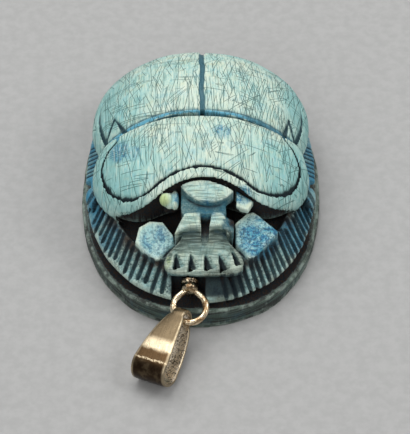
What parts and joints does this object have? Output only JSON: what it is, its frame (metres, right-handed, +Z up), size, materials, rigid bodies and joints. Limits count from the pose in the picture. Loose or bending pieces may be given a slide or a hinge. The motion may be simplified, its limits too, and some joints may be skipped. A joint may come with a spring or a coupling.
{
  "type": "scarab amulet",
  "caption": "Carved glazed-stone scarab beetle on an oval base, with a pegged metal eye ring and a tapered strap bail for a chain.",
  "frame": {"origin": "centre of the flat oval underside", "axes": "+X to the beetle's own left, which is the viewer's right from the front; +Y towards its tail; +Z up through its back"},
  "size_m": [0.025, 0.0438, 0.0125],
  "materials": {
    "glazed_steatite": "worn turquoise glaze over carved soapstone, dark teal and brown in the cuts",
    "ring_metal": "polished gilt wire",
    "bail_metal": "tarnished, bright where it rubs"
  },
  "bodies": {
    "root": {"scarab": "glazed_steatite", "eye_ring": "ring_metal", "bail": "bail_metal"}
  },
  "joints": []
}
